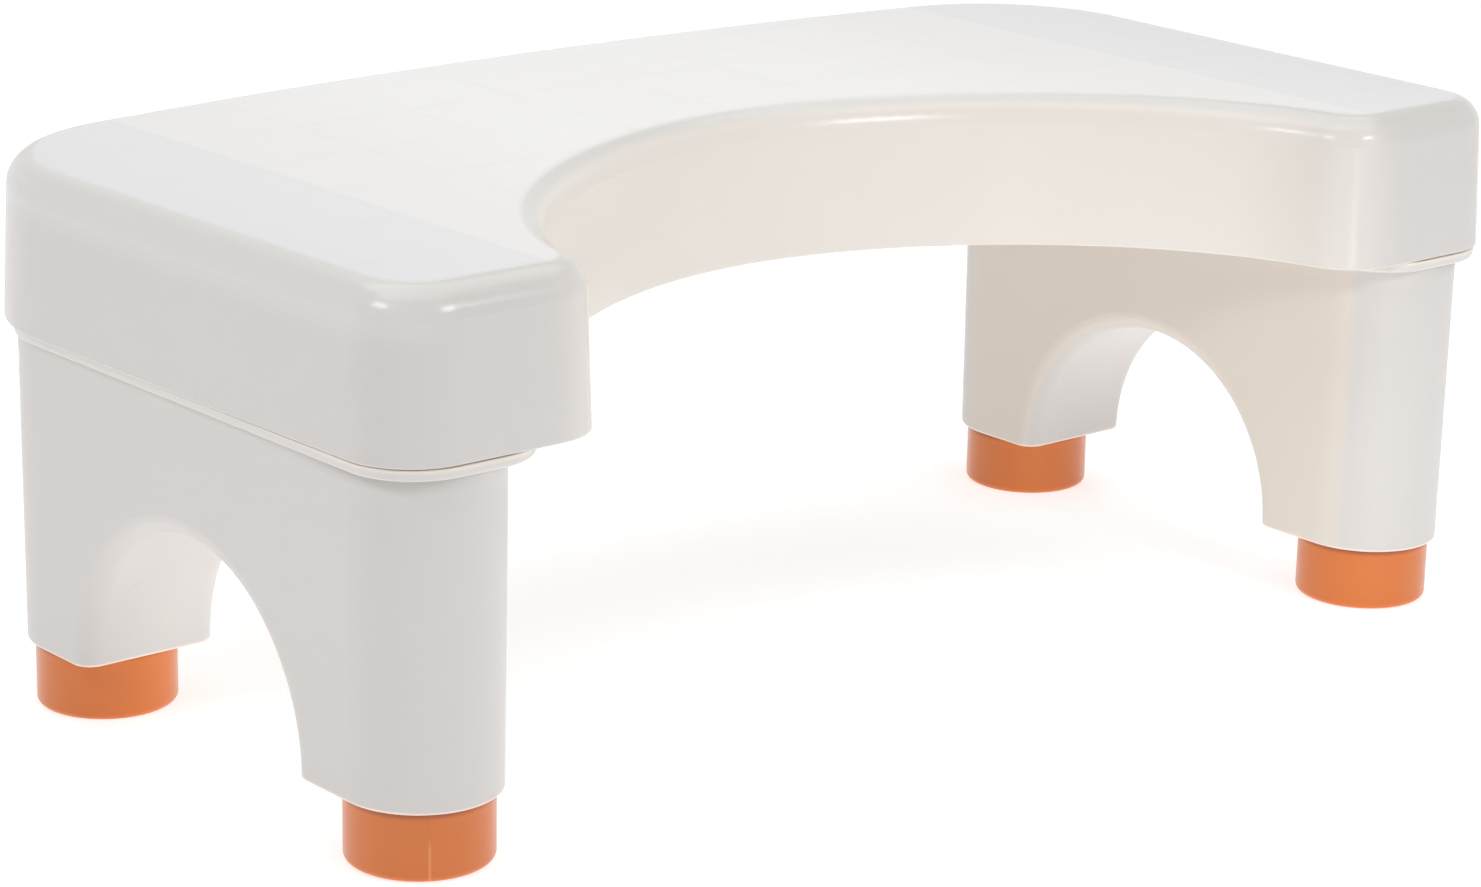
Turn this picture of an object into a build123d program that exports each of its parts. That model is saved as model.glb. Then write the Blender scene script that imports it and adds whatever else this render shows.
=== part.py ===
"""Toilet footstool: a moulded seat shell, two plug-in arched leg modules and four soft foot caps.

Frame: origin on the floor below the middle of the outer box, +Z up, +X along the length,
-Y the side with the notch that goes round the toilet. Millimetres and degrees.
"""
import os
from math import cos, radians, sin, tan

from build123d import *

# Seat shell: its outline is given at the lower edge of the skirt
seat_height = 160.0
skirt_depth = 45.9
shell_depth = 234.6
length_at_back = 425.6
length_at_front = 420.0
back_bow = 19.0
back_corner_radius = 59.3
front_corner_radius = 20.3
horn_corner_radius = 18.0
notch_mouth = 284.5
notch_depth = 115.5
notch_slant = 13.4
notch_side_pull = 53.5
notch_floor_pull = 62.9
skirt_draft = 1.8
top_edge_radius = 9.0
skirt_edge_radius = 0.5
shell_wall = 2.8
seat_thickness = 3.2

# Lattice of ribs under the seat
rib_thickness = 1.8
rib_row_pitch = 36.0
rib_row_shift = 6.0
rib_setback = 3.0
root_overlap = 0.6

# Leg modules: foot centres from the shell's ends, plan of the leg at its lower end, arch
foot_side_inset = 29.3
foot_front_inset = 25.8
foot_back_inset = 56.7
leg_width = 44.7
leg_draft = 0.4
leg_wall = 3.0
leg_floor = 3.0
leg_edge_radius = 1.0
arch_radius = 51.2
arch_shift = 0.9
arch_edge_radius = 6.0
leg_rib_thickness = 1.8
leg_rib_pitch = 32.0
leg_rib_setback = 2.0

# Flange under the skirt, and the rim that plugs into the socket of the shell
flange_thickness = 3.3
flange_width = 55.1
flange_shift = 1.3
flange_front_inset = 0.1
flange_back_overhang = 3.6
flange_front_radius = 20.5
flange_back_radius = 32.0
flange_lean = 0.6
flange_lower_radius = 1.2
flange_upper_radius = 0.4
seat_gap = 0.3
rim_inset = 3.9
rim_height = 21.0
rim_wall = 2.0
rim_gap = 0.6
rim_lead = 0.8
socket_wall = 3.0
socket_head_room = 1.2
centring_rise = 0.3
centring_width = 2.0
centring_pitch = 62.0

# Foot caps and the spigots that carry them
foot_height = 19.5
foot_radius = 20.2
foot_edge_radius = 2.0
foot_top_radius = 0.5
spigot_radius = 16.0
spigot_length = 12.0
spigot_wall = 2.6
spigot_lead = 1.0
cap_play = 0.06
cap_gap = 0.3
grip_groove_width = 1.6
grip_groove_depth = 0.8
grip_groove_radii = (8.0, 13.0)

# Counts
leg_rib_count = 4
rib_columns_between_sockets = 7
rib_rows = 6
centring_ribs = 3

overrun = 5.0

# Levels and places that follow from the sizes above
skirt_z = seat_height - skirt_depth
underside_z = seat_height - seat_thickness
flange_top_z = skirt_z - seat_gap
flange_z = flange_top_z - flange_thickness
rim_top_z = flange_top_z + rim_height
front_y = -shell_depth / 2
back_y = shell_depth / 2
leg_x = length_at_back / 2 - foot_side_inset
flange_x = leg_x - flange_shift
front_foot_y = front_y + foot_front_inset
back_foot_y = back_y - foot_back_inset
foot_pitch = back_foot_y - front_foot_y
leg_centre_y = (front_foot_y + back_foot_y) / 2
arch_centre_y = leg_centre_y + arch_shift
flange_front_y = front_y + flange_front_inset
flange_back_y = back_foot_y + leg_width / 2 + leg_draft + flange_back_overhang
socket_inset = rim_inset - rim_gap
socket_edge_x = flange_x - flange_width / 2 + socket_inset
socket_edge_y = flange_back_y - socket_inset
floor_top_z = foot_height + leg_floor
spigot_tip_z = foot_height - spigot_length


def shell_outline(level, inset):
    """Outline of the seat shell at one level, moved inwards all round."""
    half_back = length_at_back / 2 - inset
    half_front = length_at_front / 2 - inset
    back_middle_y = back_y - inset
    back_corner_y = back_middle_y - back_bow
    horn_y = front_y + inset
    floor_y = front_y + notch_depth + inset
    horn_radius = horn_corner_radius - inset
    horn_turn = 90 - notch_slant
    mouth_shift = (1 - sin(radians(notch_slant))) / cos(radians(notch_slant))
    horn_x = notch_mouth / 2 + inset * mouth_shift + horn_radius * tan(radians(horn_turn / 2))
    with BuildSketch(Plane.XY.offset(level)) as outline:
        with BuildLine():
            Line((half_back, back_corner_y), (half_front, horn_y))
            front = Line((half_front, horn_y), (horn_x, horn_y))
            corner = JernArc(front @ 1, front % 1, horn_radius, -horn_turn)
            side_pull = corner @ 1 + (corner % 1) * notch_side_pull
            Bezier(corner @ 1, side_pull, (notch_floor_pull, floor_y), (0, floor_y))
            mirror(about=Plane.YZ)
            ThreePointArc((half_back, back_corner_y), (0, back_middle_y), (-half_back, back_corner_y))
        make_face()
        fillet(outline.vertices().group_by(Axis.Y)[-1], back_corner_radius - inset)
        front_corners = outline.vertices().group_by(Axis.Y)[0].sort_by(Axis.X)
        fillet([front_corners[0], front_corners[-1]], front_corner_radius - inset)
    return outline.sketch


def shell_block(wall, top_z, edge_radius):
    """Solid of the drafted shell, moved inwards by a wall and closed at a level."""
    lean = skirt_draft * (top_z - skirt_z) / skirt_depth
    with BuildPart() as block:
        loft([shell_outline(skirt_z, wall), shell_outline(top_z, wall + lean)], ruled=True)
        fillet(block.faces().sort_by(Axis.Z)[-1].edges(), edge_radius)
    return block.part


def plug_outline(level, inset):
    """Outline of the left flange at one level, moved inwards all round."""
    length = flange_back_y - flange_front_y
    centre = (-flange_x, (flange_back_y + flange_front_y) / 2)
    with BuildSketch(Plane.XY.offset(level)) as outline:
        with Locations(centre):
            Rectangle(flange_width - 2 * inset, length - 2 * inset)
        fillet(outline.vertices().group_by(Axis.Y)[0], flange_front_radius - inset)
        inner_back = outline.vertices().group_by(Axis.Y)[-1].sort_by(Axis.X)[-1]
        fillet(inner_back, flange_front_radius - inset)
        outer_back = outline.vertices().group_by(Axis.Y)[-1].sort_by(Axis.X)[0]
        fillet(outer_back, flange_back_radius - inset)
    return outline.sketch


def leg_outline(level, inset):
    """Plan of the left leg at one level: a slot whose round ends are centred on the feet."""
    lean = leg_draft * (level - foot_height) / (flange_z - foot_height)
    with BuildSketch(Plane.XY.offset(level)) as outline:
        with Locations((-leg_x, leg_centre_y)):
            SlotCenterToCenter(foot_pitch, leg_width + 2 * lean - 2 * inset, rotation=90)
    return outline.sketch


def leg_block(wall, bottom_z, top_z):
    """Solid of the left leg with its arch, moved inwards by a wall."""
    arch_length = leg_width + 2 * overrun
    with BuildPart() as block:
        loft([leg_outline(bottom_z, wall), leg_outline(top_z, wall)], ruled=True)
        with Locations((-leg_x, arch_centre_y, foot_height)):
            Cylinder(arch_radius + wall, arch_length, rotation=(0, 90, 0), mode=Mode.SUBTRACT)
        arch_face = block.faces().filter_by(GeomType.CYLINDER).sort_by(SortBy.AREA)[-1]
        arch_edges = arch_face.edges().sort_by(SortBy.LENGTH)[-2:]
        fillet(arch_edges, arch_edge_radius - wall)
    return block.part


def rib_grid(level):
    """Lattice of ribs as plain walls between the sockets and through them."""
    columns = rib_columns_between_sockets
    column_pitch = (2 * socket_edge_x - socket_wall) / (columns + 1)
    with BuildSketch(Plane.XY.offset(level)) as grid:
        with GridLocations(column_pitch, rib_row_pitch, columns, 1):
            Rectangle(rib_thickness, shell_depth)
        with GridLocations(2 * leg_x, rib_row_pitch, 2, 1):
            Rectangle(rib_thickness, shell_depth)
        with Locations((0, rib_row_shift)):
            with GridLocations(column_pitch, rib_row_pitch, 1, rib_rows):
                Rectangle(length_at_back, rib_thickness)
    return grid.sketch


def socket_outline(level):
    """Plan of the two sockets, from their inner walls out to the skirt."""
    width = length_at_back / 2 - socket_edge_x
    depth = socket_edge_y - front_y
    with BuildSketch(Plane.XY.offset(level)) as space:
        with Locations((0, front_y + depth / 2)):
            with GridLocations(2 * socket_edge_x + width, depth, 2, 1):
                Rectangle(width, depth)
    return space.sketch


def socket_walls(level):
    """Plan of the walls that close the sockets towards the middle and the back."""
    width = length_at_back / 2 - socket_edge_x
    with BuildSketch(Plane.XY.offset(level)) as walls:
        with GridLocations(2 * socket_edge_x - socket_wall, shell_depth, 2, 1):
            Rectangle(socket_wall, shell_depth)
        with Locations((0, socket_edge_y + socket_wall / 2)):
            with GridLocations(2 * socket_edge_x + width, shell_depth, 2, 1):
                Rectangle(width, socket_wall)
    return walls.sketch


with BuildPart() as shell_ribs:
    extrude(rib_grid(skirt_z + rib_setback), skirt_depth)
    extrude(socket_outline(skirt_z), rim_top_z + socket_head_room - skirt_z, mode=Mode.SUBTRACT)
    extrude(socket_walls(skirt_z), skirt_depth)
    root_wall = shell_wall - root_overlap
    add(shell_block(root_wall, underside_z + root_overlap, top_edge_radius - root_wall), mode=Mode.INTERSECT)

with BuildPart() as top_shell:
    add(shell_block(0, seat_height, top_edge_radius))
    fillet(top_shell.faces().sort_by(Axis.Z)[0].edges(), skirt_edge_radius)
    add(shell_block(shell_wall, underside_z, top_edge_radius - shell_wall), mode=Mode.SUBTRACT)
    add(shell_ribs.part)

with BuildPart() as leg_ribs:
    with Locations((-leg_x, arch_centre_y, (foot_height + flange_top_z - leg_rib_setback) / 2)):
        with GridLocations(leg_width, leg_rib_pitch, 1, leg_rib_count):
            Box(leg_width + 2 * leg_draft, leg_rib_thickness, flange_top_z - leg_rib_setback - foot_height)
    root_wall = leg_wall - root_overlap
    add(leg_block(root_wall, floor_top_z - root_overlap, flange_top_z), mode=Mode.INTERSECT)

with BuildPart() as left_flange:
    loft([plug_outline(flange_z, flange_lean), plug_outline(flange_top_z, 0)], ruled=True)
    fillet(left_flange.faces().sort_by(Axis.Z)[0].edges(), flange_lower_radius)
    fillet(left_flange.faces().sort_by(Axis.Z)[-1].edges(), flange_upper_radius)

with BuildPart() as left_leg:
    add(leg_block(0, foot_height, flange_z + root_overlap))
    fillet(left_leg.faces().group_by(Axis.Z)[0].edges(), leg_edge_radius)
    add(left_flange.part)
    extrude(plug_outline(flange_top_z, rim_inset), rim_height)
    chamfer(left_leg.faces().sort_by(Axis.Z)[-1].edges(), rim_lead)
    with Locations((-flange_x, leg_centre_y, flange_top_z)):
        with GridLocations(centring_width, centring_pitch, 1, centring_ribs):
            Box(
                flange_width - 2 * rim_inset + 2 * centring_rise,
                centring_width,
                rim_height - 2 * rim_lead,
                align=(Align.CENTER, Align.CENTER, Align.MIN),
            )
    extrude(plug_outline(flange_top_z, rim_inset + rim_wall), rim_height + overrun, mode=Mode.SUBTRACT)
    add(leg_block(leg_wall, floor_top_z, flange_z), mode=Mode.SUBTRACT)
    with BuildSketch(Plane.XY.offset(flange_z)):
        add(leg_outline(flange_z, leg_wall))
        add(plug_outline(flange_z, rim_inset + rim_wall), mode=Mode.INTERSECT)
    extrude(amount=flange_thickness, mode=Mode.SUBTRACT)
    add(leg_ribs.part)
    with Locations((-leg_x, leg_centre_y, spigot_tip_z)):
        with GridLocations(leg_width, foot_pitch, 1, 2):
            Cylinder(spigot_radius, floor_top_z - spigot_tip_z, align=(Align.CENTER, Align.CENTER, Align.MIN))
    tips = left_leg.faces().group_by(Axis.Z)[0]
    chamfer(tips.edges(), spigot_lead)
    with Locations((-leg_x, leg_centre_y, spigot_tip_z + spigot_wall)):
        with GridLocations(leg_width, foot_pitch, 1, 2):
            Cylinder(
                spigot_radius - spigot_wall,
                floor_top_z - spigot_tip_z,
                align=(Align.CENTER, Align.CENTER, Align.MIN),
                mode=Mode.SUBTRACT,
            )

with BuildPart() as right_leg:
    mirror(left_leg.part, about=Plane.YZ)

with BuildPart() as foot_cap:
    Cylinder(foot_radius, foot_height - cap_gap, align=(Align.CENTER, Align.CENTER, Align.MIN))
    fillet(foot_cap.edges().group_by(Axis.Z)[0], foot_edge_radius)
    fillet(foot_cap.edges().group_by(Axis.Z)[-1], foot_top_radius)
    with Locations((0, 0, spigot_tip_z - cap_gap)):
        Cylinder(
            spigot_radius + cap_play,
            spigot_length + overrun,
            align=(Align.CENTER, Align.CENTER, Align.MIN),
            mode=Mode.SUBTRACT,
        )
    for groove_radius in grip_groove_radii:
        with BuildSketch():
            Circle(groove_radius + grip_groove_width / 2)
            Circle(groove_radius - grip_groove_width / 2, mode=Mode.SUBTRACT)
        extrude(amount=grip_groove_depth, mode=Mode.SUBTRACT)

pieces = {"top_shell": top_shell.part, "left_leg_module": left_leg.part, "right_leg_module": right_leg.part}
foot_places = {
    "front_left_foot_cap": (-leg_x, front_foot_y),
    "back_left_foot_cap": (-leg_x, back_foot_y),
    "front_right_foot_cap": (leg_x, front_foot_y),
    "back_right_foot_cap": (leg_x, back_foot_y),
}
for name, (foot_x, foot_y) in foot_places.items():
    pieces[name] = foot_cap.part.moved(Location((foot_x, foot_y, 0)))

os.makedirs("parts", exist_ok=True)
for name, piece in pieces.items():
    piece.label = name
    export_step(piece, f"parts/{name}.step")
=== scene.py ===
"""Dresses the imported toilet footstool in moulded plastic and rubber, and sets a pale studio round it."""

import math

import bmesh
import bpy
from bpy.props import FloatProperty, FloatVectorProperty, PointerProperty
from mathutils import Matrix, Vector


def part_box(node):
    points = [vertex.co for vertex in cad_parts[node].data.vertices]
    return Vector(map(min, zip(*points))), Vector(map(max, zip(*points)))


bl_info = {
    "name": "Toilet Footstool Finishes",
    "version": (1, 0, 0),
    "blender": (4, 5, 0),
    "location": "3D View > Sidebar > Footstool",
    "description": "Moulded plastic and rubber finishes for a notched footstool, and a plain studio",
    "category": "Object",
}

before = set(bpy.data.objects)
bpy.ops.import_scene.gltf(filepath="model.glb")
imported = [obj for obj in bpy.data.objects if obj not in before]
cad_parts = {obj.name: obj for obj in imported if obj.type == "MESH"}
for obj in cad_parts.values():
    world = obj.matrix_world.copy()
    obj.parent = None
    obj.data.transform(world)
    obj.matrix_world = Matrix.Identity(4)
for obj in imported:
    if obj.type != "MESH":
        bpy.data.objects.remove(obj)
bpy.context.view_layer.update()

# Sockets of a Mix node in its colour mode
MIX_FACTOR, MIX_FIRST, MIX_SECOND, MIX_RESULT = 0, 6, 7, 2


def colour_prop(name, description, default):
    """Colour property of a finish, in linear values."""
    return FloatVectorProperty(
        name=name, description=description, subtype="COLOR", size=3, min=0.0, max=1.0, default=default
    )


def length_prop(name, description, default):
    """Length property in metres."""
    return FloatProperty(
        name=name, description=description, subtype="DISTANCE", unit="LENGTH", default=default
    )


def share_prop(name, description, default):
    """Property between nothing and all."""
    return FloatProperty(
        name=name, description=description, subtype="FACTOR", min=0.0, max=1.0, default=default
    )


def angle_prop(name, description, default):
    """Angle property, with its default in radians."""
    return FloatProperty(name=name, description=description, subtype="ANGLE", default=default)


def power_prop(name, description, default):
    """Power of a lamp in watts."""
    return FloatProperty(
        name=name, description=description, subtype="POWER", unit="POWER", min=0.0, default=default
    )


class SeatFinish(bpy.types.PropertyGroup):
    middle: colour_prop(
        "Middle", "Plastic over the open middle of the seat, where light comes through", (0.915, 0.905, 0.885)
    )
    border: colour_prop("Border", "Open part of the seat next to the leg modules", (0.845, 0.832, 0.808))
    ends: colour_prop(
        "Ends", "Top of the seat over the leg modules, cooler because they back it", (0.797, 0.790, 0.800)
    )
    end_rims: colour_prop("End Rims", "Top of the seat at its two ends", (0.765, 0.750, 0.765))
    sides: colour_prop(
        "Sides", "Skirt round the leg modules, where no light comes through", (0.710, 0.680, 0.660)
    )
    walls: colour_prop(
        "Walls", "Warm skirt of the open middle, where light comes through", (0.873, 0.820, 0.765)
    )
    # Painted shade: the rounded top edge round the ends is darkened for the shade that falls on it, not for
    # thicker plastic.
    rim_shade: colour_prop(
        "Rim", "Rounded top edge round the ends, where the plastic is thickest", (0.665, 0.645, 0.612)
    )
    # Painted shade on the rounded top edge of the open middle.
    open_rim_shade: colour_prop("Open Rim", "Rounded top edge of the open middle", (0.715, 0.698, 0.668))
    # Painted light on the lower part of the rounded top edge along the two ends.
    end_edge_light: colour_prop("End Edges", "Rounded top edge along the two ends", (0.780, 0.768, 0.750))
    ends_edge: length_prop("Ends From", "Distance from the middle at which the cooler ends begin", 0.1555)
    rib_pitch: length_prop("Rib Columns", "Pitch of the rib columns that show as sink marks", 0.0391)
    row_pitch: length_prop("Rib Rows", "Pitch of the rib rows that show as sink marks", 0.036)
    row_shift: length_prop("Row Shift", "Offset of the rib rows towards the back", 0.006)
    sink_depth: share_prop("Sink Marks", "Strength of the shade over each rib", 0.03)
    roughness: share_prop("Roughness", "Roughness of the satin seat", 0.24)


class LegFinish(bpy.types.PropertyGroup):
    plastic: colour_prop("Plastic", "Plastic of the leg modules", (0.714, 0.686, 0.665))
    inner: colour_prop(
        "Inner Faces", "Warm inner faces of the legs, where light comes through", (0.805, 0.741, 0.672)
    )
    inner_edge: length_prop(
        "Inner From", "Distance from the middle at which the warm inner faces end", 0.1636
    )
    # Painted highlight: the pale lower edge of each leg stands in for light caught by its rounded edge, with
    # a painted reflection of the orange cap below, not for wear.
    highlit: colour_prop(
        "Worn Edge", "Lower edge of each leg, polished pale and tinted by the cap below", (0.93, 0.80, 0.70)
    )
    foot_edge: length_prop("Worn Height", "Height at which the worn lower edge ends", 0.0203)
    # Painted light: the warm pale upper edge of the shelf at the front corners stands in for light falling on
    # it.
    shelf: colour_prop(
        "Shelf", "Warm upper edge of the shelf under the seat, at the front corners", (0.90, 0.82, 0.73)
    )
    # Painted shade: the dark band under the shelf stands in for the shadow it casts, deepest at the outer
    # front corners, not for dust.
    shelf_shadow: colour_prop("Dust", "Dust that gathers under the shelf", (0.36, 0.345, 0.33))
    shelf_edge: length_prop("Shelf Height", "Height of the lower edge of the shelf", 0.1105)
    roughness: share_prop("Roughness", "Roughness of the satin legs", 0.325)


class CapFinish(bpy.types.PropertyGroup):
    rubber: colour_prop("Rubber", "Soft orange rubber of the foot caps", (0.715, 0.178, 0.022))
    roughness: share_prop("Roughness", "Roughness of the caps", 0.33)
    gloss: share_prop("Gloss", "Weight of the smooth skin on each cap", 0.45)
    seam_angle: angle_prop("Seam Angle", "Direction of the moulding seam on each cap", math.radians(-118.8))
    seam_width: length_prop("Seam Width", "Width of the moulding seam", 0.0006)
    # Painted shadow: the dark band where a cap meets its leg stands in for the contact shadow under the leg,
    # not for grime.
    cap_contact_shadow: colour_prop("Groove", "Grime where a cap meets its leg", (0.33, 0.07, 0.025))
    top_edge: length_prop("Cap Height", "Height at which a cap meets its leg", 0.0195)


class StudioSettings(bpy.types.PropertyGroup):
    floor: colour_prop("Floor", "Pale floor", (0.62, 0.62, 0.62))
    floor_radius: length_prop(
        "Floor Radius", "Radius of the floor, which fades into the background before it ends", 3.2
    )
    floor_lift: share_prop("Floor Lift", "White added to the floor for the camera and for reflections", 0.68)
    floor_glow: share_prop("Floor Glow", "Level of the soft light that the floor gives back", 0.76)
    world_level: share_prop("Sky Level", "Level of the soft light from all round above the horizon", 0.15)
    top_power: power_prop("Top Lamp", "Power of the lamp above", 18.9)
    front_power: power_prop("Front Lamp", "Power of the small lamp in front", 1.12)
    left_power: power_prop("Left Lamp", "Power of the small lamp at the left end", 1.02)
    low_power: power_prop("Low Lamp", "Power of the gridded lamp that fills the right feet", 0.011)
    arch_power: power_prop("Arch Lamp", "Power of the gridded lamp that fills the left arch", 0.005)
    lens: FloatProperty(
        name="Lens", description="Focal length on a 36 mm sensor, in millimetres", default=103.338
    )
    camera_place: FloatVectorProperty(
        name="Camera Place",
        description="Where the camera stands",
        subtype="TRANSLATION",
        unit="LENGTH",
        size=3,
        default=(-0.797901, -0.933741, 0.421465),
    )
    yaw: angle_prop("Yaw", "Turn of the view from +Y towards +X", 0.708863)
    pitch: angle_prop("Pitch", "Downward tilt of the view", 0.287221)
    roll: angle_prop("Roll", "Lean of the picture", -0.0213824)


def new_group(name, inputs, outputs):
    """Empty shader node group with named sockets."""
    group = bpy.data.node_groups.new(name, "ShaderNodeTree")
    for socket, kind, default in inputs:
        made = group.interface.new_socket(socket, in_out="INPUT", socket_type=kind)
        if default is not None:
            made.default_value = default
    for socket, kind in outputs:
        group.interface.new_socket(socket, in_out="OUTPUT", socket_type=kind)
    return group, group.nodes.new("NodeGroupInput"), group.nodes.new("NodeGroupOutput")


def feed(tree, socket, value):
    """Sets an input to a number, or links it to another socket."""
    if isinstance(value, (int, float)):
        socket.default_value = value
    else:
        tree.links.new(value, socket)


def math_node(tree, operation, *operands):
    """Math node; each operand is a number or a socket."""
    node = tree.nodes.new("ShaderNodeMath")
    node.operation = operation
    for index, value in enumerate(operands):
        feed(tree, node.inputs[index], value)
    return node.outputs[0]


def times(tree, first, second):
    """Product of two masks, or of a mask and a share."""
    return math_node(tree, "MULTIPLY", first, second)


def axes_of(tree, vector):
    """The X, Y and Z of a vector."""
    node = tree.nodes.new("ShaderNodeSeparateXYZ")
    tree.links.new(vector, node.inputs[0])
    return node.outputs["X"], node.outputs["Y"], node.outputs["Z"]


def noise_node(tree, vector, scale, detail, roughness=0.5):
    """Noise of one scale on a vector."""
    node = tree.nodes.new("ShaderNodeTexNoise")
    node.inputs["Detail"].default_value = detail
    node.inputs["Roughness"].default_value = roughness
    tree.links.new(vector, node.inputs["Vector"])
    feed(tree, node.inputs["Scale"], scale)
    return node.outputs["Fac"]


def range_node(tree, value, low, high, to_low=0.0, to_high=1.0, smooth=False):
    """Map Range node, clamped."""
    node = tree.nodes.new("ShaderNodeMapRange")
    node.interpolation_type = "SMOOTHSTEP" if smooth else "LINEAR"
    tree.links.new(value, node.inputs["Value"])
    for name, end in (("From Min", low), ("From Max", high), ("To Min", to_low), ("To Max", to_high)):
        feed(tree, node.inputs[name], end)
    return node.outputs["Result"]


def mask_node(tree, value, band, to_low=0.0, to_high=1.0):
    """Soft mask that goes from one level to the other over a band of a value."""
    return range_node(tree, value, *band, to_low, to_high, smooth=True)


def mix_colours(tree, factor, first, second, blend="MIX"):
    """Mix node on colours; each side is a colour or a socket."""
    node = tree.nodes.new("ShaderNodeMix")
    node.data_type = "RGBA"
    node.blend_type = blend
    tree.links.new(factor, node.inputs[MIX_FACTOR])
    for index, value in ((MIX_FIRST, first), (MIX_SECOND, second)):
        if hasattr(value, "links"):
            tree.links.new(value, node.inputs[index])
        else:
            node.inputs[index].default_value = (*value, 1.0)
    return node.outputs[MIX_RESULT]


def around(edge, offsets):
    """Band between two offsets from an edge."""
    return tuple(edge + offset for offset in offsets)


# Surface of plastic and rubber. Scales are in cycles to the metre, and the speck band in shares of a cell
GRAIN_DETAIL = 2.0
WAVE_DETAIL = 1.0
WAVE_HEIGHT = 6.0
PATCH_SCALE = 31.0
PATCH_DETAIL = 3.0
PATCH_ROUGHNESS = 0.6
PATCH_BAND = (0.3, 0.7)
SPECK_SCALE = 42.0
SPECK_BAND = (0.012, 0.03)
SPECK_CHANCE = 0.1


def moulded_surface_group():
    """Fine moulded grain, slow waviness of the wall and sparse specks of dirt."""
    group, given, out = new_group(
        "moulded surface",
        [
            ("Vector", "NodeSocketVector", None),
            ("Grain", "NodeSocketFloat", 1400.0),
            ("Waves", "NodeSocketFloat", 18.0),
        ],
        [("Height", "NodeSocketFloat"), ("Patch", "NodeSocketFloat"), ("Speck", "NodeSocketFloat")],
    )
    vector = given.outputs["Vector"]
    grain = noise_node(group, vector, given.outputs["Grain"], GRAIN_DETAIL)
    waves = noise_node(group, vector, given.outputs["Waves"], WAVE_DETAIL)
    height = math_node(group, "MULTIPLY_ADD", waves, WAVE_HEIGHT, grain)
    group.links.new(height, out.inputs["Height"])
    patch = noise_node(group, vector, PATCH_SCALE, PATCH_DETAIL, PATCH_ROUGHNESS)
    group.links.new(range_node(group, patch, *PATCH_BAND), out.inputs["Patch"])
    dots = group.nodes.new("ShaderNodeTexVoronoi")
    dots.inputs["Scale"].default_value = SPECK_SCALE
    group.links.new(vector, dots.inputs["Vector"])
    near = range_node(group, dots.outputs["Distance"], *SPECK_BAND, 1.0, 0.0)
    chosen = group.nodes.new("ShaderNodeSeparateColor")
    group.links.new(dots.outputs["Color"], chosen.inputs["Color"])
    rare = math_node(group, "GREATER_THAN", chosen.outputs["Red"], 1.0 - SPECK_CHANCE)
    group.links.new(times(group, near, rare), out.inputs["Speck"])
    return group


# Sink marks: half their width as a share of the pitch, and the noise by which they come and go
MARK_HALF_WIDTH = 0.09
MARK_WOBBLE_SCALE = 60.0
MARK_WOBBLE_DETAIL = 1.0
MARK_WOBBLE_BAND = (0.35, 0.65)
MARK_FAINTEST = 0.25


def sink_mark_group():
    """Shade over the ribs that stand under a moulded wall, in rows and columns."""
    group, given, out = new_group(
        "sink marks",
        [
            ("Vector", "NodeSocketVector", None),
            ("Column Pitch", "NodeSocketFloat", 0.04),
            ("Row Pitch", "NodeSocketFloat", 0.04),
            ("Row Shift", "NodeSocketFloat", 0.0),
        ],
        [("Mark", "NodeSocketFloat")],
    )
    wobble = noise_node(group, given.outputs["Vector"], MARK_WOBBLE_SCALE, MARK_WOBBLE_DETAIL)
    along, across, _ = axes_of(group, given.outputs["Vector"])
    shifted = math_node(group, "SUBTRACT", across, given.outputs["Row Shift"])
    half_row = times(group, given.outputs["Row Pitch"], 0.5)
    rows_from = math_node(group, "ADD", shifted, half_row)
    lines = []
    for place, pitch in ((along, given.outputs["Column Pitch"]), (rows_from, given.outputs["Row Pitch"])):
        turns = math_node(group, "DIVIDE", place, pitch)
        nearest = math_node(group, "ROUND", turns)
        off = math_node(group, "ABSOLUTE", math_node(group, "SUBTRACT", turns, nearest))
        lines.append(mask_node(group, off, (0.0, MARK_HALF_WIDTH), 1.0, 0.0))
    both = math_node(group, "MAXIMUM", *lines)
    uneven = range_node(group, wobble, *MARK_WOBBLE_BAND, MARK_FAINTEST, 1.0)
    group.links.new(times(group, both, uneven), out.inputs["Mark"])
    return group


# A seam shows on the +X side of its axis, from this distance in metres
SEAM_FROM_AXIS = 0.01


def seam_group():
    """Thin raised line down one side of an upright turned piece, where its mould parts."""
    group, given, out = new_group(
        "mould seam",
        [("Vector", "NodeSocketVector", None), ("Width", "NodeSocketFloat", 0.0005)],
        [("Line", "NodeSocketFloat")],
    )
    outwards, sideways, _ = axes_of(group, given.outputs["Vector"])
    away = math_node(group, "ABSOLUTE", sideways)
    line = mask_node(group, away, (0.0, given.outputs["Width"]), 1.0, 0.0)
    front = math_node(group, "GREATER_THAN", outwards, SEAM_FROM_AXIS)
    group.links.new(times(group, line, front), out.inputs["Line"])
    return group


def new_material(name):
    """Material with one Principled shader; returns it, its tree, the shader and the object coordinates."""
    material = bpy.data.materials.new(name)
    material.use_nodes = True
    tree = material.node_tree
    shader = tree.nodes["Principled BSDF"]
    place = tree.nodes.new("ShaderNodeTexCoord")
    return material, tree, shader, place.outputs["Object"]


def shared_group(name, make):
    """The group of that name, made once."""
    return bpy.data.node_groups.get(name) or make()


def place_group(tree, group, vector, values):
    """Node of a shared group, with its own values."""
    node = tree.nodes.new("ShaderNodeGroup")
    node.node_tree = group
    tree.links.new(vector, node.inputs["Vector"])
    for name, value in values.items():
        node.inputs[name].default_value = value
    return node


def moulded_surface(tree, vector, values):
    """Node of the moulded surface group, with its own values."""
    return place_group(tree, shared_group("moulded surface", moulded_surface_group), vector, values)


def link_roughness(tree, shader, surface, middle, spread):
    """Roughness that wanders with the patches of a surface, between two offsets from its setting."""
    least, most = spread
    rough = range_node(tree, surface.outputs["Patch"], 0.0, 1.0, middle + least, middle + most)
    tree.links.new(rough, shader.inputs["Roughness"])


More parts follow.
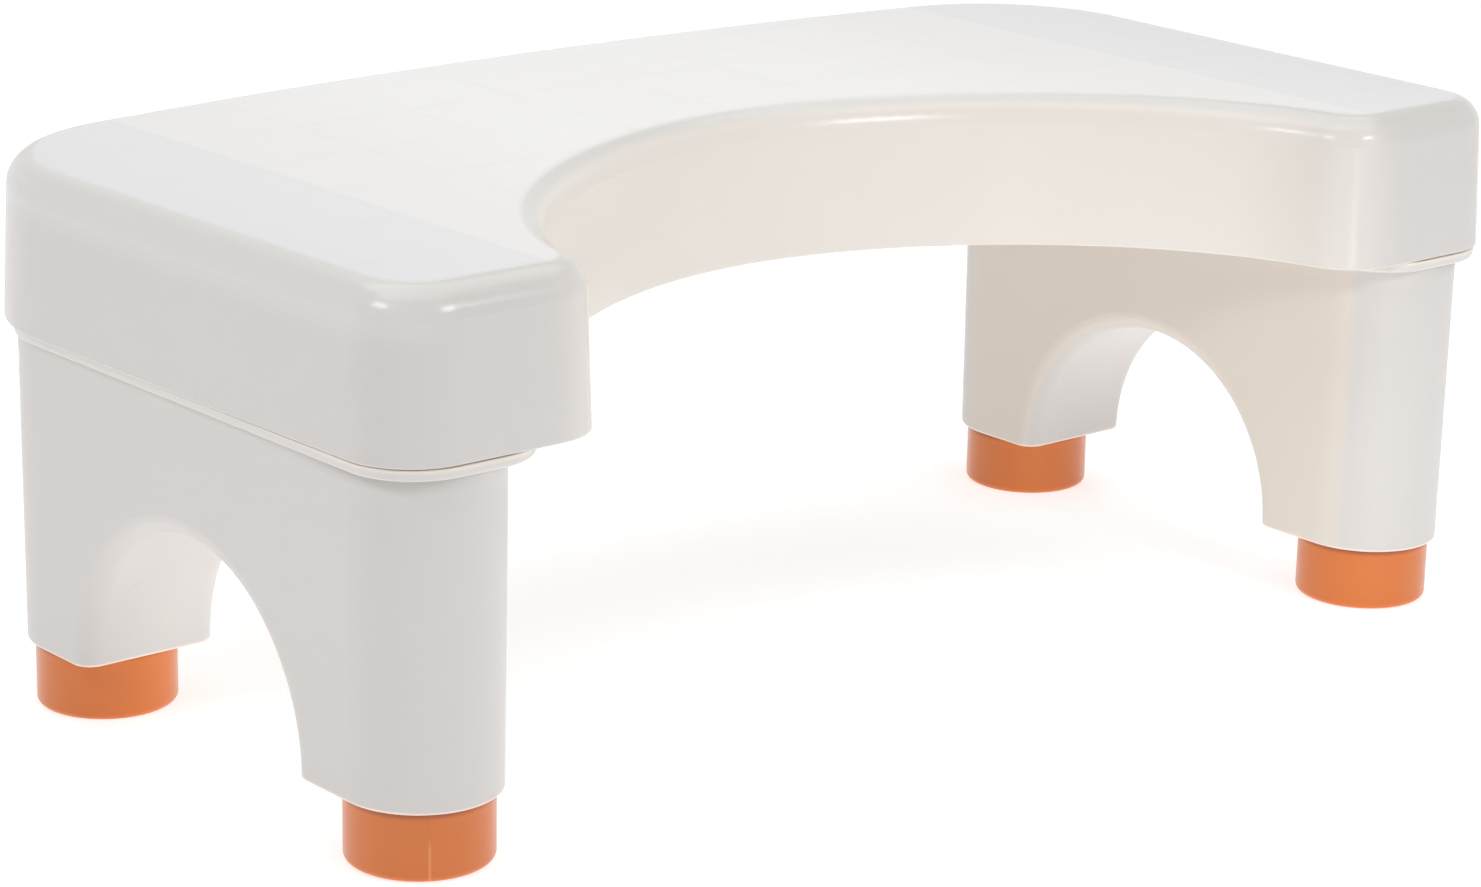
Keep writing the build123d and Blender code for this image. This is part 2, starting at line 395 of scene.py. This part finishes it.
def link_bump(tree, shader, height, distance, strength):
    """Bump from a height to the shader's normal."""
    bump = tree.nodes.new("ShaderNodeBump")
    bump.inputs["Distance"].default_value = distance
    bump.inputs["Strength"].default_value = strength
    tree.links.new(height, bump.inputs["Height"])
    tree.links.new(bump.outputs["Normal"], shader.inputs["Normal"])


def set_material(node, material):
    """Gives a CAD node one material."""
    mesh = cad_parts[node].data
    mesh.materials.clear()
    mesh.materials.append(material)


# Satin plastic: tint of its patches, dust specks, spread of its roughness, and relief in metres
PLASTIC_TINT = (0.985, 0.98, 0.97)
PLASTIC_TINT_SHARE = 0.25
SPECK_COLOUR = (0.35, 0.32, 0.28)
SPECK_SHARE = 0.2
PLASTIC_SPREAD = (-0.03, 0.025)
PLASTIC_IOR = 1.49
PLASTIC_RELIEF = 0.00004
PLASTIC_BUMP = 0.5


def plastic_finish(tree, shader, vector, colour, roughness):
    """Satin moulded plastic over a colour socket: patchy gloss, grain, slow waves and specks."""
    surface = moulded_surface(tree, vector, {})
    patches = times(tree, surface.outputs["Patch"], PLASTIC_TINT_SHARE)
    tinted = mix_colours(tree, patches, colour, PLASTIC_TINT, "MULTIPLY")
    specks = times(tree, surface.outputs["Speck"], SPECK_SHARE)
    speckled = mix_colours(tree, specks, tinted, SPECK_COLOUR)
    tree.links.new(speckled, shader.inputs["Base Color"])
    link_roughness(tree, shader, surface, roughness, PLASTIC_SPREAD)
    shader.inputs["IOR"].default_value = PLASTIC_IOR
    link_bump(tree, shader, surface.outputs["Height"], PLASTIC_RELIEF, PLASTIC_BUMP)


# Seat shell, along X in metres from the middle: where the colours of the open middle and of the end rims are
# reached, how far the cooler ends blend either way, and where the skirt changes at the legs and at the ends
OPEN_MIDDLE_TO = 0.05
END_RIM_AT = 0.208
ENDS_BLEND = 0.0015
LEGS_BAND = (0.125, 0.168)
ENDS_BAND = (0.188, 0.206)
# Seat shell, up Z in metres: where the colour of the top is reached, where it starts over the ends and over
# the middle, and where the skirt changes to the rounded edge at the ends and all round
SEAT_TOP = 0.15999
TOP_FROM_ENDS = 0.1597
TOP_FROM_MIDDLE = 0.1590
# Band up Z where the painted light on the rounded edge at the ends comes in.
END_EDGE_LIGHT_BAND = (0.143, 0.1555)
# Painted shade on the rounded top edge: the band up Z where it comes in, and the share of it kept at the
# ends.
RIM_SHADE_BAND = (0.1560, 0.1592)
RIM_SHADE_AT_ENDS = 0.4
SINK_COLOUR = (0.30, 0.30, 0.36)


def seat_top_colour(tree, finish, away, open_part):
    """Colour of the flat top: warm over the open middle, cooler over the leg modules."""
    cool_band = (finish.ends_edge - ENDS_BLEND, finish.ends_edge + ENDS_BLEND)
    over_legs = mask_node(tree, away, cool_band)
    top_open = mix_colours(tree, open_part, finish.border, finish.middle)
    outwards = range_node(tree, away, finish.ends_edge, END_RIM_AT)
    top_ends = mix_colours(tree, outwards, finish.ends, finish.end_rims)
    return mix_colours(tree, over_legs, top_open, top_ends)


def skirt_colour(tree, finish, away, height):
    """Colour of the skirt, warm between the leg modules, with painted light and painted shade on its rounded
    top edge.
    """
    round_legs = mask_node(tree, away, LEGS_BAND)
    colour = mix_colours(tree, round_legs, finish.walls, finish.sides)
    at_ends = mask_node(tree, away, ENDS_BAND)
    # Painted light on the lower rounded edge along the two ends.
    end_edge_light_share = times(tree, at_ends, mask_node(tree, height, END_EDGE_LIGHT_BAND))
    colour = mix_colours(tree, end_edge_light_share, colour, finish.end_edge_light)
    # Painted shade on the rounded top edge, held back at the ends.
    rim_shade_colour = mix_colours(tree, round_legs, finish.open_rim_shade, finish.rim_shade)
    rim_shade_share = mask_node(tree, height, RIM_SHADE_BAND)
    held_back = range_node(tree, at_ends, 0.0, 1.0, 1.0, RIM_SHADE_AT_ENDS)
    return mix_colours(tree, times(tree, rim_shade_share, held_back), colour, rim_shade_colour)


def seat_material(finish):
    """Satin seat plastic, with faint sink marks over the ribs."""
    material, tree, shader, vector = new_material("satin seat plastic")
    along, _, height = axes_of(tree, vector)
    away = math_node(tree, "ABSOLUTE", along)
    open_part = mask_node(tree, away, (finish.ends_edge, OPEN_MIDDLE_TO))
    top_from = range_node(tree, open_part, 0.0, 1.0, TOP_FROM_ENDS, TOP_FROM_MIDDLE)
    on_top = mask_node(tree, height, (top_from, SEAT_TOP))
    top = seat_top_colour(tree, finish, away, open_part)
    skirt = skirt_colour(tree, finish, away, height)
    colour = mix_colours(tree, on_top, skirt, top)
    marks = place_group(
        tree,
        shared_group("sink marks", sink_mark_group),
        vector,
        {"Column Pitch": finish.rib_pitch, "Row Pitch": finish.row_pitch, "Row Shift": finish.row_shift},
    )
    shade = times(tree, times(tree, marks.outputs["Mark"], on_top), finish.sink_depth)
    colour = mix_colours(tree, shade, colour, SINK_COLOUR)
    plastic_finish(tree, shader, vector, colour, finish.roughness)
    return material


class FOOTSTOOL_OT_seat(bpy.types.Operator):
    """Give the seat shell its satin plastic, cooler over the leg modules, with sink marks over the ribs"""

    bl_idname = "footstool.seat"
    bl_label = "Finish Seat Shell"

    def execute(self, context):
        set_material("top_shell", seat_material(context.scene.seat_finish))
        return {"FINISHED"}


# Leg modules, in metres: bands along Y and X that mark the front and outer corners, and offsets from the
# edges in the settings
FRONT_CORNER_BAND = (-0.055, -0.1)
OUTER_CORNER_BAND = (0.176, 0.197)
INNER_BLEND = 0.0022
# Rise over which the painted light on the upper edge of the shelf comes in.
SHELF_LIGHT_RISE = (0.0015, 0.0033)
# Painted shadow under the shelf: its drop and rise, and its least and most strength.
SHELF_SHADOW_DROP = (-0.0045, -0.0006)
SHELF_SHADOW_RISE = (0.0, 0.0003)
SHELF_SHADOW_LEAST = 0.1
SHELF_SHADOW_MOST = 0.5
# Band of the painted highlight on the lower edge of each leg.
HIGHLIT_RISE = (0.0003, -0.0003)
HIGHLIT_FROM_UNDERSIDE = (-0.00079, -0.00073)


def leg_material(finish):
    """Satin leg plastic: warm inner faces, painted light on the upper edge of the shelf with painted shade
    under it, and a painted highlight on the lower edges.
    """
    material, tree, shader, vector = new_material("satin leg plastic")
    along, across, height = axes_of(tree, vector)
    away = math_node(tree, "ABSOLUTE", along)
    inner = mask_node(tree, away, (finish.inner_edge, finish.inner_edge - INNER_BLEND))
    colour = mix_colours(tree, inner, finish.plastic, finish.inner)

    front_corner = mask_node(tree, across, FRONT_CORNER_BAND)
    # Painted light on the upper edge of the shelf at the front corners.
    shelf = mask_node(tree, height, around(finish.shelf_edge, SHELF_LIGHT_RISE))
    colour = mix_colours(tree, times(tree, shelf, front_corner), colour, finish.shelf)

    # Painted shadow under the shelf, deepest at the outer front corners.
    below = range_node(tree, height, *around(finish.shelf_edge, SHELF_SHADOW_DROP))
    above = range_node(tree, height, *around(finish.shelf_edge, SHELF_SHADOW_RISE), 1.0, 0.0)
    outer_corner = times(tree, front_corner, mask_node(tree, away, OUTER_CORNER_BAND))
    shadow_strength = range_node(tree, outer_corner, 0.0, 1.0, SHELF_SHADOW_LEAST, SHELF_SHADOW_MOST)
    shelf_shadow = times(tree, times(tree, below, above), shadow_strength)
    colour = mix_colours(tree, shelf_shadow, colour, finish.shelf_shadow)

    # Painted highlight, with a painted reflection of the cap, on the lower edge of each leg.
    foot_edge = mask_node(tree, height, around(finish.foot_edge, HIGHLIT_RISE))
    off_underside = range_node(tree, height, *around(finish.foot_edge, HIGHLIT_FROM_UNDERSIDE))
    colour = mix_colours(tree, times(tree, foot_edge, off_underside), colour, finish.highlit)
    plastic_finish(tree, shader, vector, colour, finish.roughness)
    return material


class FOOTSTOOL_OT_legs(bpy.types.Operator):
    """Give both leg modules their satin plastic"""

    bl_idname = "footstool.legs"
    bl_label = "Finish Leg Modules"

    def execute(self, context):
        material = leg_material(context.scene.leg_finish)
        for node in ("left_leg_module", "right_leg_module"):
            set_material(node, material)
        return {"FINISHED"}


# Turn of each cap's mould seam from the seam angle
CAP_TURNS = {
    "front_left_foot_cap": 0.0,
    "back_left_foot_cap": math.radians(150.0),
    "front_right_foot_cap": math.radians(180.0),
    "back_right_foot_cap": math.radians(120.0),
}

# Rubber of the caps: grain, tint of its patches, spread of its roughness, and relief in metres
CAP_GRAIN = {"Grain": 2200.0, "Waves": 60.0}
RUBBER_TINT = (0.97, 0.93, 0.9)
RUBBER_TINT_SHARE = 0.3
RUBBER_SPREAD = (-0.04, 0.05)
RUBBER_IOR = 1.45
RUBBER_COAT_ROUGHNESS = 0.18
RUBBER_RELIEF = 0.00005
RUBBER_BUMP = 0.6
# Mould seam with a painted highlight along it, which fades out over a band of height, and the painted shadow
# under the leg, both in metres up Z
SEAM_BAND = (0.009, 0.013)
# The seam is raised by a bump and painted lighter along it as a highlight.
SEAM_HIGHLIGHT_SHARE = 0.6
SEAM_HIGHLIGHT = (0.90, 0.36, 0.14)
SEAM_HEIGHT = 2.5
# Painted shadow under the leg: its drop from the top of the cap and its strength.
CONTACT_SHADOW_DROP = (-0.0024, -0.0004)
CONTACT_SHADOW_SHARE = 0.85


def cap_centred(tree, node, vector, turn):
    """Coordinates from the axis of a cap, turned about it."""
    low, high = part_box(node)
    centred = tree.nodes.new("ShaderNodeMapping")
    centred.vector_type = "TEXTURE"
    centred.inputs["Location"].default_value = ((low[0] + high[0]) / 2, (low[1] + high[1]) / 2, 0.0)
    centred.inputs["Rotation"].default_value = (0.0, 0.0, turn)
    tree.links.new(vector, centred.inputs["Vector"])
    return centred.outputs["Vector"]


def cap_material(node, finish):
    """Soft orange rubber of one cap, with its raised mould seam painted lighter as a highlight, and a painted
    shadow under its leg.
    """
    material, tree, shader, vector = new_material("orange rubber " + node.replace("_", " "))
    centred = cap_centred(tree, node, vector, finish.seam_angle + CAP_TURNS[node])
    surface = moulded_surface(tree, vector, CAP_GRAIN)
    seam = place_group(tree, shared_group("mould seam", seam_group), centred, {"Width": finish.seam_width})
    patches = times(tree, surface.outputs["Patch"], RUBBER_TINT_SHARE)
    colour = mix_colours(tree, patches, finish.rubber, RUBBER_TINT, "MULTIPLY")

    _, _, height = axes_of(tree, vector)
    # Raised mould seam, painted lighter along it as a highlight, fading out upwards.
    lower_half = mask_node(tree, height, SEAM_BAND, SEAM_HIGHLIGHT_SHARE, 0.0)
    colour = mix_colours(tree, times(tree, seam.outputs["Line"], lower_half), colour, SEAM_HIGHLIGHT)
    # Painted shadow where the cap meets its leg.
    under_leg_shadow = mask_node(tree, height, around(finish.top_edge, CONTACT_SHADOW_DROP))
    colour = mix_colours(tree, times(tree, under_leg_shadow, CONTACT_SHADOW_SHARE), colour, finish.cap_contact_shadow)
    tree.links.new(colour, shader.inputs["Base Color"])

    link_roughness(tree, shader, surface, finish.roughness, RUBBER_SPREAD)
    shader.inputs["IOR"].default_value = RUBBER_IOR
    shader.inputs["Coat Weight"].default_value = finish.gloss
    shader.inputs["Coat Roughness"].default_value = RUBBER_COAT_ROUGHNESS
    relief = math_node(tree, "MULTIPLY_ADD", seam.outputs["Line"], SEAM_HEIGHT, surface.outputs["Height"])
    link_bump(tree, shader, relief, RUBBER_RELIEF, RUBBER_BUMP)
    return material


class FOOTSTOOL_OT_caps(bpy.types.Operator):
    """Give the four foot caps their soft orange rubber, each with its mould seam"""

    bl_idname = "footstool.caps"
    bl_label = "Finish Foot Caps"

    def execute(self, context):
        for node in CAP_TURNS:
            set_material(node, cap_material(node, context.scene.cap_finish))
        return {"FINISHED"}


# Floor, which fades from a distance in metres to a share of its radius
FLOOR_SEGMENTS = 96
FADE_FROM = 0.6
FADE_TO_SHARE = 0.8

# World, with the height of a direction over which its lower half goes over into the upper one
WHITE = (1.0, 1.0, 1.0, 1.0)
HORIZON_BAND = (-0.02, 0.02)

# Camera: sensor in millimetres, clipping distances in metres
SENSOR_WIDTH = 36.0
CLIP_NEAR = 0.05
CLIP_FAR = 50.0

# Each lamp with its place, the point that it faces, its width and height, and how wide it throws
LAMPS = {
    "top": ((0.1, 0.15, 1.55), (0.0, 0.0, 0.1), (2.0, 1.8), math.pi),
    "front": ((0.09, -0.66, 0.45), (0.0, -0.05, 0.14), (0.22, 0.12), math.pi),
    "left": ((-0.74, -0.06, 0.56), (-0.1, -0.08, 0.14), (0.24, 0.12), math.pi),
    "low": ((-0.15, -0.65, 0.05), (0.18, -0.08, 0.02), (0.12, 0.06), math.radians(26.0)),
    "arch": ((0.25, -0.35, 0.045), (-0.185, 0.062, 0.03), (0.05, 0.03), math.radians(14.0)),
}


def rays_that_see(tree):
    """One for camera, glossy and transmitted rays, which see the white background."""
    path = tree.nodes.new("ShaderNodeLightPath")
    seen = math_node(tree, "MAXIMUM", path.outputs["Is Camera Ray"], path.outputs["Is Glossy Ray"])
    return math_node(tree, "MAXIMUM", seen, path.outputs["Is Transmission Ray"])


def floor_material(settings):
    """Pale floor that gives soft light back, fades outwards and is clear from below."""
    material = bpy.data.materials.new("pale floor")
    material.use_nodes = True
    tree = material.node_tree
    tree.nodes.clear()
    out = tree.nodes.new("ShaderNodeOutputMaterial")
    diffuse = tree.nodes.new("ShaderNodeBsdfDiffuse")
    diffuse.inputs["Color"].default_value = (*settings.floor, 1.0)
    glow = tree.nodes.new("ShaderNodeEmission")
    strength = range_node(tree, rays_that_see(tree), 0.0, 1.0, settings.floor_glow, settings.floor_lift)
    tree.links.new(strength, glow.inputs["Strength"])
    both = tree.nodes.new("ShaderNodeAddShader")
    tree.links.new(diffuse.outputs[0], both.inputs[0])
    tree.links.new(glow.outputs[0], both.inputs[1])
    place = tree.nodes.new("ShaderNodeTexCoord")
    reach = tree.nodes.new("ShaderNodeVectorMath")
    reach.operation = "LENGTH"
    tree.links.new(place.outputs["Object"], reach.inputs[0])
    fade = mask_node(tree, reach.outputs["Value"], (FADE_FROM, settings.floor_radius * FADE_TO_SHARE))
    side = tree.nodes.new("ShaderNodeNewGeometry")
    gone = math_node(tree, "MAXIMUM", fade, side.outputs["Backfacing"])
    clear = tree.nodes.new("ShaderNodeBsdfTransparent")
    mixed = tree.nodes.new("ShaderNodeMixShader")
    tree.links.new(gone, mixed.inputs[0])
    tree.links.new(both.outputs[0], mixed.inputs[1])
    tree.links.new(clear.outputs[0], mixed.inputs[2])
    tree.links.new(mixed.outputs[0], out.inputs["Surface"])
    return material


def make_floor(settings):
    """Round pale floor under the object."""
    mesh = bpy.data.meshes.new("floor")
    shape = bmesh.new()
    bmesh.ops.create_circle(shape, cap_ends=True, segments=FLOOR_SEGMENTS, radius=settings.floor_radius)
    shape.to_mesh(mesh)
    shape.free()
    floor = bpy.data.objects.new("floor", mesh)
    bpy.context.collection.objects.link(floor)
    mesh.materials.append(floor_material(settings))


def make_world(settings):
    """Even soft light, below the horizon at the floor's level; the camera and reflections see it white."""
    world = bpy.data.worlds.new("soft studio")
    world.use_nodes = True
    tree = world.node_tree
    back = tree.nodes["Background"]
    back.inputs["Color"].default_value = WHITE
    direction = tree.nodes.new("ShaderNodeTexCoord")
    _, _, upwards = axes_of(tree, direction.outputs["Generated"])
    soft = range_node(tree, upwards, *HORIZON_BAND, settings.floor_glow, settings.world_level)
    level = range_node(tree, rays_that_see(tree), 0.0, 1.0, soft, 1.0)
    tree.links.new(level, back.inputs["Strength"])
    bpy.context.scene.world = world


def make_lamp(name, power, place, aim, size, spread):
    """Soft rectangular lamp at a place, turned towards a point."""
    data = bpy.data.lights.new(name, "AREA")
    data.shape = "RECTANGLE"
    data.size, data.size_y = size
    data.energy = power
    data.spread = spread
    lamp = bpy.data.objects.new(name, data)
    lamp.location = place
    lamp.rotation_mode = "QUATERNION"
    lamp.rotation_quaternion = (Vector(aim) - Vector(place)).to_track_quat("-Z", "Y")
    lamp.visible_camera = False
    bpy.context.collection.objects.link(lamp)


def make_camera(settings):
    """Camera at the photograph's place and turn."""
    data = bpy.data.cameras.new("camera")
    data.sensor_fit = "HORIZONTAL"
    data.sensor_width = SENSOR_WIDTH
    data.lens = settings.lens
    data.clip_start, data.clip_end = CLIP_NEAR, CLIP_FAR
    camera = bpy.data.objects.new("camera", data)
    turn = (
        Matrix.Rotation(-settings.yaw, 4, "Z")
        @ Matrix.Rotation(math.pi / 2 - settings.pitch, 4, "X")
        @ Matrix.Rotation(-settings.roll, 4, "Z")
    )
    camera.matrix_world = Matrix.Translation(settings.camera_place) @ turn
    bpy.context.collection.objects.link(camera)
    bpy.context.scene.camera = camera


class FOOTSTOOL_OT_stage(bpy.types.Operator):
    """Set the pale floor, the soft light, and the camera at the photograph's angle"""

    bl_idname = "footstool.stage"
    bl_label = "Set Studio"

    def execute(self, context):
        settings = context.scene.studio_settings
        context.scene.view_settings.view_transform = "Standard"
        make_floor(settings)
        make_world(settings)
        for name, lamp in LAMPS.items():
            make_lamp(name + " lamp", getattr(settings, name + "_power"), *lamp)
        make_camera(settings)
        return {"FINISHED"}


class FOOTSTOOL_PT_sidebar(bpy.types.Panel):
    """Finishes of the footstool and its studio"""

    bl_idname = "FOOTSTOOL_PT_sidebar"
    bl_label = "Footstool"
    bl_space_type = "VIEW_3D"
    bl_region_type = "UI"
    bl_category = "Footstool"

    def draw(self, context):
        for operator, group in STEPS:
            box = self.layout.box()
            box.operator(operator.bl_idname)
            owner = getattr(context.scene, group)
            for name in owner.bl_rna.properties.keys():
                if name not in ("rna_type", "name"):
                    box.prop(owner, name)


GROUPS = {
    "seat_finish": SeatFinish,
    "leg_finish": LegFinish,
    "cap_finish": CapFinish,
    "studio_settings": StudioSettings,
}
STEPS = (
    (FOOTSTOOL_OT_seat, "seat_finish"),
    (FOOTSTOOL_OT_legs, "leg_finish"),
    (FOOTSTOOL_OT_caps, "cap_finish"),
    (FOOTSTOOL_OT_stage, "studio_settings"),
)


def register():
    for name, group in GROUPS.items():
        bpy.utils.register_class(group)
        setattr(bpy.types.Scene, name, PointerProperty(type=group))
    for operator, _ in STEPS:
        bpy.utils.register_class(operator)
    bpy.utils.register_class(FOOTSTOOL_PT_sidebar)


def unregister():
    bpy.utils.unregister_class(FOOTSTOOL_PT_sidebar)
    for operator, _ in reversed(STEPS):
        bpy.utils.unregister_class(operator)
    for name, group in GROUPS.items():
        delattr(bpy.types.Scene, name)
        bpy.utils.unregister_class(group)


def main():
    register()
    bpy.ops.footstool.seat()
    bpy.ops.footstool.legs()
    bpy.ops.footstool.caps()
    bpy.ops.footstool.stage()


if __name__ == "__main__":
    main()
